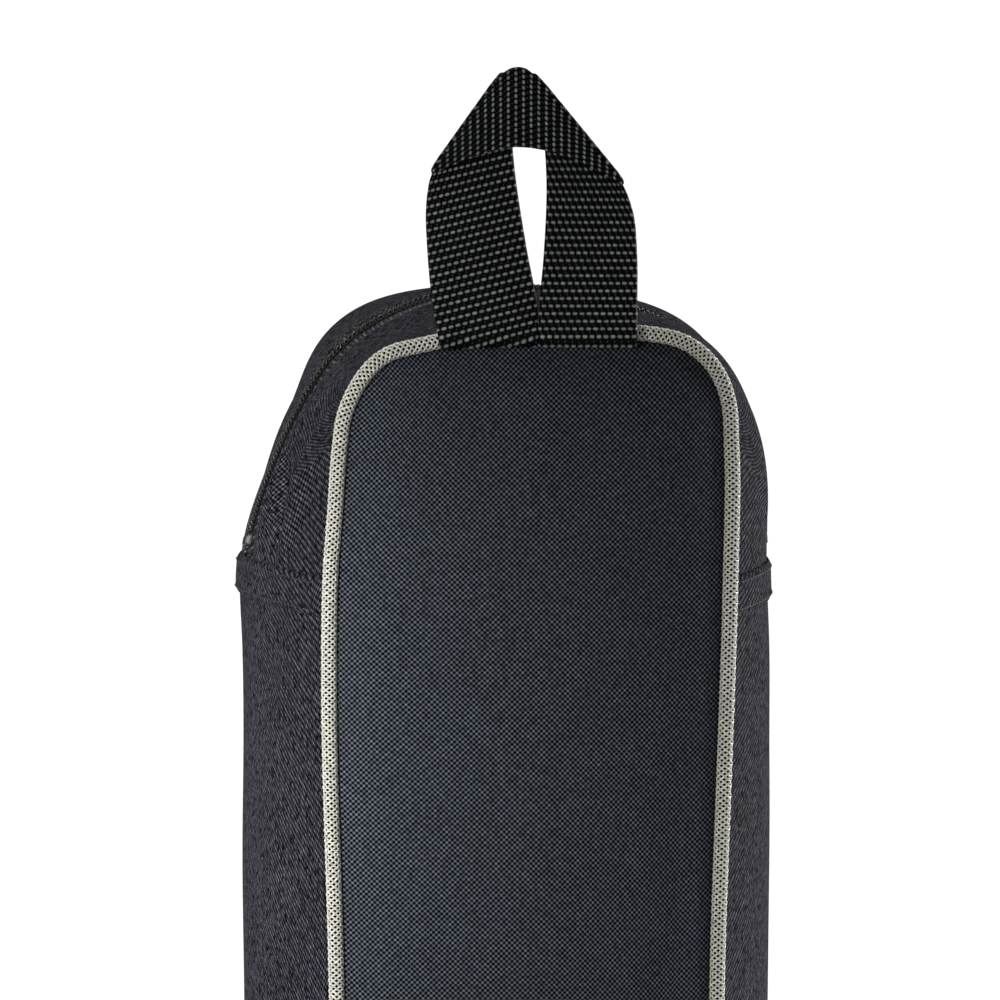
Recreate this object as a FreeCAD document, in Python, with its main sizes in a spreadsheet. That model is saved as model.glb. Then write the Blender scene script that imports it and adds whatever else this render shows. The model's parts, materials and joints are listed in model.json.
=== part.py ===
"""Shoe bag: an upright fabric bag with piped end panels, an arched zip over the top and a webbing carry loop.

The bag stands on its base at z = 0. X runs across the bag, Y from the front end panel to the rear one, and Z up.
The arched zip is a half circle in a plane a little in front of the middle, so its slider turns about one axis.
The fabric between the mouth flap and the fixed bag, which folds as the mouth opens, is kept as separate creases.
"""

import FreeCAD, Part

import os
import re

import Sketcher

App = FreeCAD
Vector = App.Vector

SIZES = {
    # end panels: the seam outline that the piping follows
    "half_depth": 95.0,
    "seam_half_width": 54.3,
    "seam_foot_half_width": 52.5,
    "seam_shoulder_z": 312.5,
    "seam_corner_radius": 23.0,
    "seam_top_slope": 14.0,
    "seam_bottom_z": 4.0,
    "seam_foot_radius": 22.0,
    "crown_edge": 4.5,
    "crown_top": 6.5,
    "crown_edge_inset": 6.0,
    "crown_top_inset": 15.0,
    # section of the bag in the plane of the zip
    "zip_depth": -18.0,
    "arch_radius": 76.0,
    "arch_z": 276.0,
    "arch_split": 60.0,
    "waist_foot_half_width": 72.0,
    "waist_foot_radius": 28.0,
    "waist_bottom_z": -4.0,
    # fabric layers
    "fabric": 1.5,
    "wall": 3.0,
    "base_seam_z": 12.0,
    "piping_radius": 3.0,
    "band_proud": 1.2,
    "band_low_z": 260.5,
    "band_top_z": 271.5,
    "binding_thickness": 1.0,
    "binding_near": 84.0,
    "binding_far": 92.0,
    "board_half_width": 40.0,
    "board_half_length": 60.0,
    "board_thickness": 2.0,
    "board_corner": 12.0,
    # mouth
    "mouth_slope": 36.5,
    "soft_gap": 0.3,
    "zip_half_width": 11.0,
    "tape_gap": 0.6,
    "tape_low": 1.5,
    "tape_thickness": 0.7,
    "coil_height": 2.2,
    "coil_width": 2.2,
    "flap_tape_start": 12.5,
    "tape_end_gap": 0.3,
    "stop_thickness": 1.5,
    "stop_half_width": 2.6,
    "stop_length": 1.6,
    "stop_lift": 0.1,
    # slider and puller
    "slider_rest": 79.5,
    "slider_half_length": 6.0,
    "slider_half_width": 4.5,
    "slider_top": 3.1,
    "slider_blade": 1.2,
    "slider_under": 2.0,
    "slider_under_blade": 1.0,
    "slider_lip": 1.2,
    "slider_clearance": 0.5,
    "slider_post_half": 0.45,
    "slider_post_length": 3.0,
    "bridge_half_width": 1.0,
    "bridge_height": 3.5,
    "bridge_bar": 1.2,
    "bridge_half_length": 4.6,
    "bridge_leg": 1.2,
    "puller_lift": 4.25,
    "puller_half_width": 4.0,
    "puller_window": 1.7,
    "puller_window_length": 6.5,
    "puller_length": 20.0,
    "puller_thickness": 1.4,
    "puller_hole_radius": 1.6,
    "puller_hole_drop": 15.5,
    # carry loop
    "webbing": 25.0,
    "webbing_thickness": 1.8,
    "loop_gap": 6.0,
    "loop_face": 98.8,
    "loop_foot_z": 335.5,
    "loop_hinge_z": 342.5,
    "loop_bend": 2.5,
    "loop_fold_z": 384.0,
    # reach of the construction boxes, well beyond the bag on every side
    "room_reach": 200.0,
    "room_below": 50.0,
    "room_top": 500.0,
}

doc = App.newDocument("shoe_bag")
sheet = doc.addObject("Spreadsheet::Sheet", "Sheet")
for row, (alias, number) in enumerate(SIZES.items(), 1):
    sheet.set(f"A{row}", alias)
    sheet.set(f"B{row}", str(number))
    sheet.setAlias(f"B{row}", alias)
doc.recompute()

parts = {}
UPRIGHT = App.Rotation(Vector(1, 0, 0), 90)


def cells(text):
    """An expression with each size's name pointed at its cell in the sheet."""
    return re.sub("[a-z_]+", lambda word: "Sheet." + word[0] if word[0] in SIZES else word[0], text)


def value(text):
    """The number that an expression of sizes has now."""
    found = sheet.evalExpression(text)
    return float(getattr(found, "Value", found))


def bind(obj, **sizes):
    """Binds properties of an object to expressions of sizes; place_x stands for Placement.Base.x."""
    for name, text in sizes.items():
        path = "Placement.Base." + name[-1] if name.startswith("place_") else name
        obj.setExpression(path, cells(text))


def keep(label, obj):
    """Names an object as one of the bag's sub-parts."""
    obj.Label = label
    parts[label] = obj
    return obj


def boolean(kind, name, base, tool):
    obj = doc.addObject("Part::" + kind, name)
    obj.Base, obj.Tool = base, tool
    return obj


def cut(name, base, tool):
    return boolean("Cut", name, base, tool)


def common(name, base, tool):
    return boolean("Common", name, base, tool)


def fuse(name, shapes):
    obj = doc.addObject("Part::MultiFuse", name)
    obj.Shapes = shapes
    return obj


def box(name, low, high):
    """A box between two corners, each three expressions of sizes."""
    obj = doc.addObject("Part::Box", name)
    length, width, height = [f"({b}) - ({a})" for a, b in zip(low, high)]
    bind(obj, Length=length, Width=width, Height=height)
    bind(obj, place_x=low[0], place_y=low[1], place_z=low[2])
    return obj


# ---- sketches ----

def pin_point(sketch, edge, end, x, y):
    """Fixes a sketch point by its distances from the sketch's origin."""
    for kind, text in (("DistanceX", x), ("DistanceY", y)):
        number = value(text)
        if number < 0:
            index = sketch.addConstraint(Sketcher.Constraint(kind, edge, end, -1, 1, -number))
            text = f"-({text})"
        else:
            index = sketch.addConstraint(Sketcher.Constraint(kind, -1, 1, edge, end, number))
        sketch.setExpression(f"Constraints[{index}]", cells(text))


def polygon(sketch, points):
    """A closed polygon in a sketch, with every corner bound to sizes."""
    spots = [Vector(value(x), value(y), 0) for x, y in points]
    count = len(points)
    for index in range(count):
        sketch.addGeometry(Part.LineSegment(spots[index], spots[(index + 1) % count]), False)
    for index in range(count):
        sketch.addConstraint(Sketcher.Constraint("Coincident", index, 2, (index + 1) % count, 1))
    for index, (x, y) in enumerate(points):
        pin_point(sketch, index, 1, x, y)
    return sketch


def mirrored(point):
    return Vector(-point.x, point.y, 0)


def ring_sketch(name, depth, right, radii, arc_tops):
    """A closed, left-right symmetric outline across the bag, standing at a depth.

    right holds the four corners of its right half from the base up, radii its foot, corner and top arcs,
    and arc_tops a middle point of each of those arcs, which says which way it bows.
    """
    sketch = doc.addObject("Sketcher::SketchObject", name)
    sketch.Placement = App.Placement(Vector(0, 0, 0), UPRIGHT)
    bind(sketch, place_y=depth)
    spots = [Vector(value(x), value(y), 0) for x, y in right]
    foot, corner, top = [Vector(value(x), value(y), 0) for x, y in arc_tops]
    corners = right + [(f"-({x})", y) for x, y in reversed(right)]
    turns = spots + [mirrored(spot) for spot in reversed(spots)]
    middles = [foot, None, corner, top, mirrored(corner), None, mirrored(foot), None]
    ends = []
    for index, middle in enumerate(middles):
        start, end = turns[index], turns[(index + 1) % 8]
        sketch.addGeometry(Part.Arc(start, middle, end) if middle else Part.LineSegment(start, end), False)
        # a sketch stores every arc anticlockwise, so its first point may be this edge's end
        kept = sketch.Geometry[index].StartPoint.distanceToPoint(start) < 1e-6
        ends.append((1, 2) if kept else (2, 1))
    for index, (x, y) in enumerate(corners):
        after = (index + 1) % 8
        sketch.addConstraint(
            Sketcher.Constraint("Coincident", index, ends[index][1], after, ends[after][0]))
    for index, (x, y) in enumerate(corners):
        pin_point(sketch, index, ends[index][0], x, y)
    for index, text in ((0, radii[0]), (2, radii[1]), (3, radii[2]), (4, radii[1]), (6, radii[0])):
        made = sketch.addConstraint(Sketcher.Constraint("Radius", index, value(text)))
        sketch.setExpression(f"Constraints[{made}]", cells(text))
    return sketch


def seam_ring(name, depth, inset):
    """The end panel's outline, drawn in by an inset."""
    corner_x = "seam_half_width - seam_corner_radius"
    radius = f"(seam_corner_radius - ({inset}))"
    foot = f"(seam_foot_radius - ({inset}))"
    foot_x = "(seam_foot_half_width - seam_foot_radius)"
    foot_z = "(seam_bottom_z + seam_foot_radius)"
    end_x = f"({corner_x} + {radius} * sin(seam_top_slope * 1deg))"
    end_z = f"(seam_shoulder_z + {radius} * cos(seam_top_slope * 1deg))"
    top_radius = f"(({end_x}) / sin(seam_top_slope * 1deg))"
    top_z = f"({end_z} + {top_radius} * (1 - cos(seam_top_slope * 1deg)))"
    return ring_sketch(
        name, depth,
        right=[
            (foot_x, f"{foot_z} - {foot}"),
            (f"{foot_x} + {foot}", foot_z),
            (f"{corner_x} + {radius}", "seam_shoulder_z"),
            (end_x, end_z),
        ],
        radii=(foot, radius, top_radius),
        arc_tops=[
            (f"{foot_x} + {foot} * sin(45deg)", f"{foot_z} - {foot} * cos(45deg)"),
            (f"{corner_x} + {radius} * cos(40deg)", f"seam_shoulder_z + {radius} * sin(40deg)"),
            ("0", top_z),
        ],
    )


def waist_ring(name, inset):
    """The bag's section at the zip, with the arch that the zip follows, drawn in by an inset."""
    arch = f"(arch_radius - ({inset}))"
    foot = f"(waist_foot_radius - ({inset}))"
    foot_x = "(waist_foot_half_width - waist_foot_radius)"
    foot_z = "(waist_bottom_z + waist_foot_radius)"
    return ring_sketch(
        name, "zip_depth",
        right=[
            (foot_x, f"{foot_z} - {foot}"),
            (f"{foot_x} + {foot}", foot_z),
            (arch, "arch_z"),
            (f"{arch} * cos(arch_split * 1deg)", f"arch_z + {arch} * sin(arch_split * 1deg)"),
        ],
        radii=(foot, arch, arch),
        arc_tops=[
            (f"{foot_x} + {foot} * sin(45deg)", f"{foot_z} - {foot} * cos(45deg)"),
            (f"{arch} * cos(arch_split * 0.5deg)", f"arch_z + {arch} * sin(arch_split * 0.5deg)"),
            ("0", f"arch_z + {arch}"),
        ],
    )


def loft(name, sections):
    obj = doc.addObject("Part::Loft", name)
    obj.Sections = sections
    obj.Solid = True
    obj.Ruled = False
    return obj


# ---- the bag's soft walls ----

def tube(name, inset, floor):
    """The bag's body between its two seams, drawn in by an inset and cut flat at a floor height."""
    body = loft(name + "_loft", [
        seam_ring(name + "_front", "-half_depth", inset),
        waist_ring(name + "_waist", inset),
        seam_ring(name + "_rear", "half_depth", inset),
    ])
    room = box(name + "_room", ("-room_reach", "-room_reach", floor), ("room_reach", "room_reach", "room_top"))
    return common(name, body, room)


def crown(name, side, inset, shift):
    """A pillow-shaped end: the seam outline crowned outwards. side is -1 at the front and 1 at the rear."""
    def depth(rise):
        return f"({side}) * (half_depth + {rise} - ({shift}))"

    return loft(name, [
        seam_ring(name + "_edge", depth("0"), inset),
        seam_ring(name + "_rise", depth("crown_edge"), f"{inset} + crown_edge_inset"),
        seam_ring(name + "_top", depth("crown_top"), f"{inset} + crown_top_inset"),
    ])


def prism(name, points):
    """A prism right across the bag, from a polygon in the YZ plane."""
    sketch = doc.addObject("Sketcher::SketchObject", name + "_sketch")
    sketch.Placement = App.Placement(Vector(0, 0, 0), App.Rotation(Vector(1, 1, 1), 120))
    polygon(sketch, points)
    obj = doc.addObject("Part::Extrusion", name)
    obj.Base = sketch
    obj.DirMode = "Normal"
    bind(obj, LengthFwd="room_reach", LengthRev="room_reach")
    obj.Solid = True
    return obj


def piping(name, depth):
    """A round cord along a seam outline."""
    spine = seam_ring(name + "_path", depth, "0")
    profile = doc.addObject("Sketcher::SketchObject", name + "_profile")
    profile.Placement = App.Placement(Vector(0, 0, 0), App.Rotation(Vector(0, 1, 0), 90))
    profile.addGeometry(Part.Circle(Vector(0, 0, 0), Vector(0, 0, 1), value("piping_radius")), False)
    profile.addConstraint(Sketcher.Constraint("Coincident", 0, 3, -1, 1))
    made = profile.addConstraint(Sketcher.Constraint("Radius", 0, value("piping_radius")))
    profile.setExpression(f"Constraints[{made}]", cells("piping_radius"))
    bind(profile, place_y=depth, place_z="seam_bottom_z")
    doc.recompute()
    obj = doc.addObject("Part::Sweep", name)
    obj.Sections = [profile]
    obj.Spine = (spine, ["Edge8", "Edge1", "Edge2", "Edge3", "Edge4", "Edge5", "Edge6", "Edge7"])
    obj.Solid = True
    obj.Frenet = False
    return obj


front_cord = piping("front_cord", "-half_depth")
rear_cord = piping("rear_cord", "half_depth")
cords = doc.addObject("Part::Compound", "cords")
cords.Links = [front_cord, rear_cord]

outer_tube = tube("outer_tube", "0", "0")
middle_tube = tube("middle_tube", "fabric", "fabric")
inner_tube = tube("inner_tube", "wall", "wall")
band_tube = tube("band_tube", "-band_proud", "0")
binding_tube = tube("binding_tube", "wall + binding_thickness", "wall + binding_thickness")

fabric_wall = cut("fabric_wall", cut("fabric_ring", outer_tube, middle_tube), cords)
lining_wall = cut("lining_wall", cut("lining_ring", middle_tube, inner_tube), cords)
band_wall = cut("band_wall", cut("band_ring", band_tube, outer_tube), cords)
binding_wall = cut("binding_wall", inner_tube, binding_tube)

# ---- the zones that move apart ----

DROP = "(room_reach + zip_depth) * tan(mouth_slope * 1deg)"
fixed_zone = prism("fixed_zone", [
    ("-room_reach", "-room_below"), ("room_reach", "-room_below"), ("room_reach", "arch_z"),
    ("zip_depth", "arch_z"), ("-room_reach", f"arch_z - {DROP}"),
])
crease_zone = prism("crease_zone", [
    ("zip_depth", "arch_z"), ("-room_reach", "arch_z"), ("-room_reach", f"arch_z - {DROP}"),
])
FRONT_EDGE, REAR_EDGE = "zip_depth - zip_half_width", "zip_depth + zip_half_width"


def zone(name, x_low, y_low, z_low, y_high="room_reach", z_high="room_top", x_high="room_reach"):
    """A box that reaches past the bag on the sides that aren't given."""
    return box(name, (x_low, y_low, z_low), (x_high, y_high, z_high))


LEFT = FRONT = "-room_reach"
flap_zone = zone("flap_zone", LEFT, FRONT, "arch_z + soft_gap", y_high=FRONT_EDGE)
rear_zone = zone("rear_zone", LEFT, REAR_EDGE, "arch_z")
left_zone = zone("left_zone", LEFT, FRONT, "base_seam_z", x_high="0")
right_zone = zone("right_zone", "0", FRONT, "base_seam_z")
base_zone = zone("base_zone", LEFT, FRONT, "-room_below", z_high="base_seam_z")
band_zone = zone("band_zone", LEFT, FRONT, "band_low_z", z_high="band_top_z")


def walls():
    fixed_wall = common("fixed_wall", fabric_wall, fixed_zone)
    crease_wall = common("crease_wall", fabric_wall, crease_zone)
    bands = common("bands", band_wall, band_zone)
    fixed_bands = common("fixed_bands", bands, fixed_zone)
    for side, half in (("left", left_zone), ("right", right_zone)):
        keep(f"{side}_side_panel", common(f"{side}_side", fixed_wall, half))
        keep(f"{side}_side_crease", common(f"{side}_crease", crease_wall, half))
        keep(f"{side}_end_band", common(f"{side}_band", fixed_bands, half))
    keep("end_band_creases", common("band_creases", bands, crease_zone))
    keep("base_panel", common("base", fixed_wall, base_zone))
    keep("front_zip_gusset", common("front_gusset", fabric_wall, flap_zone))
    keep("rear_zip_gusset", common("rear_gusset", fabric_wall, rear_zone))
    keep("body_lining", common("body_liner", lining_wall, fixed_zone))
    keep("side_crease_lining", common("crease_liner", lining_wall, crease_zone))
    keep("front_gusset_lining", common("front_gusset_liner", lining_wall, flap_zone))
    keep("rear_gusset_lining", common("rear_gusset_liner", lining_wall, rear_zone))


def end_panels():
    for name, side in (("front", -1), ("rear", 1)):
        face = crown(f"{name}_face", side, "0", "0")
        back = crown(f"{name}_back", side, "wall", "fabric")
        inside = crown(f"{name}_inside", side, "wall", "wall")
        panel = cut(f"{name}_sheet", cut(f"{name}_blank", face, back), cords)
        liner = cut(f"{name}_liner", back, inside)
        if side > 0:
            keep("rear_panel", panel)
            keep("rear_lining", liner)
            keep("rear_piping", rear_cord)
            continue
        for label, whole in (("front_panel", panel), ("front_lining", liner), ("front_piping", front_cord)):
            keep(f"{label}_lower", common(f"{label}_a", whole, fixed_zone))
            keep(f"{label}_crease", common(f"{label}_b", whole, crease_zone))
            keep(f"{label}_upper", common(f"{label}_c", whole, flap_zone))


def seam_bindings():
    """Tape folded over the raw edges of each seam, inside the bag."""
    front_room = zone("front_binding_room", LEFT, "-binding_far", "-room_below", y_high="-binding_near")
    rear_room = zone("rear_binding_room", LEFT, "binding_near", "-room_below", y_high="binding_far")
    front = common("front_binding", binding_wall, front_room)
    keep("front_seam_binding_lower", common("front_binding_a", front, fixed_zone))
    keep("front_seam_binding_crease", common("front_binding_b", front, crease_zone))
    keep("front_seam_binding_upper", common("front_binding_c", front, flap_zone))
    keep("rear_seam_binding", common("rear_binding", binding_wall, rear_room))


def base_board():
    """The plastic board that keeps the base flat."""
    body = doc.addObject("PartDesign::Body", "board_body")
    sketch = body.newObject("Sketcher::SketchObject", "board_sketch")
    plane = [f for f in body.Origin.OriginFeatures if f.Role == "XY_Plane"][0]
    sketch.AttachmentSupport = [(plane, "")]
    sketch.MapMode = "FlatFace"
    w, d = "board_half_width", "board_half_length"
    polygon(sketch, [("-" + w, "-" + d), (w, "-" + d), (w, d), ("-" + w, d)])
    pad = body.newObject("PartDesign::Pad", "board_pad")
    pad.Profile = sketch
    bind(pad, Length="board_thickness")
    doc.recompute()
    corners = [f"Edge{i + 1}" for i, e in enumerate(pad.Shape.Edges)
               if abs(e.tangentAt(e.FirstParameter).z) > 0.9]
    rounds = body.newObject("PartDesign::Fillet", "board_corners")
    rounds.Base = (pad, corners)
    bind(rounds, Radius="board_corner")
    bind(body, place_z="wall")
    keep("base_board", body)


# ---- the zip ----

def arc_strip(name, radius_low, radius_high, y_low, y_high, start, end):
    """A strip bent round the arch's axis, between two radii, two depths and two angles from +X."""
    rings = []
    for label, radius in (("outside", radius_high), ("inside", radius_low)):
        ring = doc.addObject("Part::Cylinder", f"{name}_{label}")
        turn = App.Rotation(Vector(0, 0, 1), value(start))
        ring.Placement = App.Placement(Vector(0, 0, 0), UPRIGHT.multiply(turn))
        bind(ring, Radius=radius, Height=f"({y_high}) - ({y_low})", Angle=f"({end}) - ({start})")
        bind(ring, place_y=y_high, place_z="arch_z")
        rings.append(ring)
    return cut(name, rings[0], rings[1])


def zip_chain():
    low = "arch_radius - tape_low"
    high = f"({low} + tape_thickness)"
    coil_high = f"{high} + coil_height"
    last = "180 - flap_tape_start"
    front = (FRONT_EDGE, "zip_depth - tape_gap")
    front_end = (f"{FRONT_EDGE} + soft_gap", "zip_depth - tape_gap")
    rear = ("zip_depth + tape_gap", REAR_EDGE)
    front_coil = ("zip_depth - tape_gap - coil_width", "zip_depth - tape_gap")
    rear_coil = ("zip_depth + tape_gap", "zip_depth + tape_gap + coil_width")
    keep("front_zip_tape", arc_strip("front_tape", low, high, *front, "flap_tape_start", last))
    keep("front_zip_coil", arc_strip("front_coil", high, coil_high, *front_coil, "flap_tape_start", last))
    keep("rear_zip_tape", arc_strip("rear_tape", low, high, *rear, "0", "180"))
    keep("rear_zip_coil", arc_strip("rear_coil", high, coil_high, *rear_coil, "flap_tape_start", last))
    ends = doc.addObject("Part::Compound", "tape_ends")
    ends.Links = [
        arc_strip("tape_end_right", low, high, *front_end, "0", "flap_tape_start - tape_end_gap"),
        arc_strip("tape_end_left", low, high, *front_end, f"{last} + tape_end_gap", "180"),
    ]
    keep("front_zip_tape_ends", ends)
    front_side, rear_side = "zip_depth - stop_half_width", "zip_depth + stop_half_width"
    stops = doc.addObject("Part::Compound", "stops")
    near, far = f"{high} + stop_lift", f"{high} + stop_lift + stop_thickness"
    foot, head = "arch_z + stop_lift", "arch_z + stop_lift + stop_length"
    stops.Links = [
        box("stop_right", (near, front_side, foot), (far, rear_side, head)),
        box("stop_left", (f"-({far})", front_side, foot), (f"-({near})", rear_side, head)),
    ]
    keep("zip_end_stops", stops)


def on_arch(obj):
    """Turns an object drawn at the arch's right end up to where the slider rests."""
    turn = App.Rotation(Vector(0, 1, 0), -value("slider_rest"))
    centre = App.Placement(Vector(0, 0, 0), turn, Vector(0, 0, value("arch_z")))
    obj.Placement = App.Placement(Vector(0, value("zip_depth"), 0), App.Rotation()).multiply(centre)


def slider():
    """Two blades joined by a post that runs between the coils, with a bridge for the puller.

    Only the rear edge has a flange, so that the front coil can leave the slider as the mouth opens.
    """
    half = "slider_half_length"
    low, high = f"arch_z - {half}", f"arch_z + {half}"
    wide, lip = "slider_half_width", "slider_lip"
    top = "arch_radius + slider_top"
    under_top = f"{top} - slider_blade"
    under = "arch_radius - slider_under"
    tape_top = "arch_radius - tape_low + tape_thickness"
    crest = "arch_radius + slider_top + bridge_height"
    bar = f"{crest} - bridge_bar"
    bridge_low, bridge_high = "arch_z - bridge_half_length", "arch_z + bridge_half_length"
    side = "bridge_half_width"
    blocks = [
        box("top_blade", (under_top, f"-{wide}", low), (top, wide, high)),
        box("under_blade", (f"{under} - slider_under_blade", f"-{wide}", low), (under, wide, high)),
        box("post", (under, "-slider_post_half", low),
            (under_top, "slider_post_half", f"{low} + slider_post_length")),
        box("flange", (f"{tape_top} + slider_clearance", f"{wide} - {lip}", low), (under_top, wide, high)),
        box("bridge_bar", (bar, f"-{side}", bridge_low), (crest, side, bridge_high)),
        box("bridge_foot", (top, f"-{side}", bridge_low), (bar, side, f"{bridge_low} + bridge_leg")),
        box("bridge_head", (top, f"-{side}", f"{bridge_high} - bridge_leg"), (bar, side, bridge_high)),
    ]
    body = fuse("slider", blocks)
    on_arch(body)
    keep("zip_slider", body)


def puller():
    """A flat tab that hangs from a crossbar under the slider's bridge."""
    body = doc.addObject("PartDesign::Body", "puller_body")
    sketch = body.newObject("Sketcher::SketchObject", "puller_sketch")
    plane = [f for f in body.Origin.OriginFeatures if f.Role == "YZ_Plane"][0]
    sketch.AttachmentSupport = [(plane, "")]
    sketch.MapMode = "FlatFace"
    wide, thick = "puller_half_width", "puller_thickness"
    head, foot = "arch_z + puller_thickness / 2", "arch_z - puller_length"
    polygon(sketch, [("-" + wide, foot), (wide, foot), (wide, head), ("-" + wide, head)])
    pad = body.newObject("PartDesign::Pad", "puller_pad")
    pad.Profile = sketch
    bind(pad, Length=thick)
    doc.recompute()
    window = body.newObject("Sketcher::SketchObject", "puller_window_sketch")
    window.AttachmentSupport = [(plane, "")]
    window.MapMode = "FlatFace"
    gap = "puller_window"
    sill, lintel = "arch_z - puller_window_length", "arch_z - puller_thickness / 2"
    polygon(window, [("-" + gap, sill), (gap, sill), (gap, lintel), ("-" + gap, lintel)])
    pocket = body.newObject("PartDesign::Pocket", "puller_pocket")
    pocket.Profile = window
    pocket.Type = "ThroughAll"
    pocket.Reversed = True
    doc.recompute()
    hole_sketch = body.newObject("Sketcher::SketchObject", "puller_hole_sketch")
    hole_sketch.AttachmentSupport = [(plane, "")]
    hole_sketch.MapMode = "FlatFace"
    centre = Vector(0, value("arch_z - puller_hole_drop"), 0)
    hole_sketch.addGeometry(Part.Circle(centre, Vector(0, 0, 1), value("puller_hole_radius")), False)
    pin_point(hole_sketch, 0, 3, "0", "arch_z - puller_hole_drop")
    made = hole_sketch.addConstraint(Sketcher.Constraint("Radius", 0, value("puller_hole_radius")))
    hole_sketch.setExpression(f"Constraints[{made}]", cells("puller_hole_radius"))
    hole = body.newObject("PartDesign::Pocket", "puller_hole")
    hole.Profile = hole_sketch
    hole.Type = "ThroughAll"
    hole.Reversed = True
    doc.recompute()
    on_arch(body)
    shift = Vector(value("arch_radius + puller_lift - puller_thickness / 2"), 0, 0)
    body.Placement = body.Placement.multiply(App.Placement(shift, App.Rotation()))
    keep("zip_puller", body)


# ---- the carry loop ----

def loop_pad(body, name, points, depth):
    """Pads a polygon drawn in the XZ plane by the webbing's thickness, from a depth out to the front."""
    sketch = body.newObject("Sketcher::SketchObject", name + "_sketch")
    plane = [f for f in body.Origin.OriginFeatures if f.Role == "XZ_Plane"][0]
    sketch.AttachmentSupport = [(plane, "")]
    sketch.MapMode = "FlatFace"
    sketch.setExpression("AttachmentOffset.Base.z", cells(depth))
    polygon(sketch, points)
    pad = body.newObject("PartDesign::Pad", name + "_pad")
    pad.Profile = sketch
    bind(pad, Length="webbing_thickness")
    doc.recompute()


def carry_loop():
    """Webbing folded over at its peak: two legs side by side, and the folded top in front of them."""
    out = "(webbing + loop_gap / 2)"
    inn = "(loop_gap / 2)"
    front = "-loop_face - webbing_thickness"
    foot, bend, fold = "loop_hinge_z - loop_bend", "loop_hinge_z + loop_bend", "loop_fold_z"
    peak = "loop_fold_z + webbing"
    body = doc.addObject("PartDesign::Body", "loop_body")
    loop_pad(body, "legs", [
        (f"-{out}", bend), (f"-{inn}", bend), (f"-{inn}", fold), (inn, fold), (inn, bend),
        (out, bend), (out, fold), (inn, peak), (f"-{inn}", peak), (f"-{out}", fold),
    ], "loop_face")
    loop_pad(body, "fold", [
        (f"-{out}", fold), (out, fold), (inn, peak), (f"-{inn}", peak),
    ], "loop_face + webbing_thickness")
    keep("carry_loop", body)
    for label, low, high in (("carry_loop_feet", "loop_foot_z", foot), ("carry_loop_bend", foot, bend)):
        pair = doc.addObject("Part::Compound", label + "_pair")
        pair.Links = [
            box(label + "_left", (f"-{out}", front, low), (f"-{inn}", "-loop_face", high)),
            box(label + "_right", (inn, front, low), (out, "-loop_face", high)),
        ]
        keep(label, pair)


walls()
end_panels()
seam_bindings()
base_board()
zip_chain()
slider()
puller()
carry_loop()
doc.recompute()

failed = [obj.Name for obj in doc.Objects if {"Invalid", "Error"} & set(obj.State)]
if failed:
    raise SystemExit(f"these objects failed to build: {failed}")
os.makedirs("parts", exist_ok=True)
for label, obj in parts.items():
    shape = obj.Shape
    if shape.isNull() or not shape.isValid() or not shape.Solids:
        raise SystemExit(f"{label} has no valid solid")
    shape.exportStep(f"parts/{label}.step")
    print(f"{label}: {len(shape.Solids)} solid(s), {shape.Volume / 1000:.2f} cm3")
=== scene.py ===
"""The looks of a shoe bag with piped end panels, an arched zip and a webbing carry loop.

Lengths are in millimetres until a mesh is made. The fabric surfaces follow the outline of the bag's section:
a point on them is given by its length along the outline from the top centre, its depth Y and an inset.
"""

import json
import math

import bmesh
import bpy
import numpy as np
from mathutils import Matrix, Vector


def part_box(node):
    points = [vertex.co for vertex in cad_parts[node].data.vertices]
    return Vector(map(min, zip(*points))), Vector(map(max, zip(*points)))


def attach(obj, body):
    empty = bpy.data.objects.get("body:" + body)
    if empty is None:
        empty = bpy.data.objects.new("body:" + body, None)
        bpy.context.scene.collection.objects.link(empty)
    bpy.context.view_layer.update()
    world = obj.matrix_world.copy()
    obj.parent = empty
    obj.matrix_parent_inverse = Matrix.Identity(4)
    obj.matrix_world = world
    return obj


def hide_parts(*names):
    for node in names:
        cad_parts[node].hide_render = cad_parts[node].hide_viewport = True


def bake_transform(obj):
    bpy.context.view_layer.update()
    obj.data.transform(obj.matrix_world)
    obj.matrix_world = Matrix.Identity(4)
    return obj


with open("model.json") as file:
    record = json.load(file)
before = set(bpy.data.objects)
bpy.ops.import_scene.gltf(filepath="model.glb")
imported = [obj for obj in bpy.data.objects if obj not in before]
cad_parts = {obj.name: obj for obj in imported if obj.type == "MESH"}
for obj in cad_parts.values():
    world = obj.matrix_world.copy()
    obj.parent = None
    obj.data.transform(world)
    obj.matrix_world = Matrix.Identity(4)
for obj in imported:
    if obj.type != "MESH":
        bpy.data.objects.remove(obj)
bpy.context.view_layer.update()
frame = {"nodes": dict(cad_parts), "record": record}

MM = 0.001
PI = math.pi


def corner(node, high):
    """A corner of a CAD node's box, in millimetres."""
    return np.array(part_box(node)[1 if high else 0]) / MM


joints = {joint["name"]: joint for joint in frame["record"]["behaviour"]["joints"]}
ZIP_Y, ARCH_Z = (round(number / MM, 3) for number in joints["mouth_open"]["pos_m"][1:])
LOOP_Y, LOOP_Z = (round(number / MM, 3) for number in joints["handle_fold"]["pos_m"][1:])

# ---- the bag's section ----

HALF_DEPTH = 95.0
ARCH_RADIUS = 76.0
ZIP_HALF = 11.0              # half the opening between the gussets
HEM_LOW, HEM_TOP = corner("left_end_band", False)[2], corner("left_end_band", True)[2]
BASE_SEAM_Z = corner("base_panel", True)[2]


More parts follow.
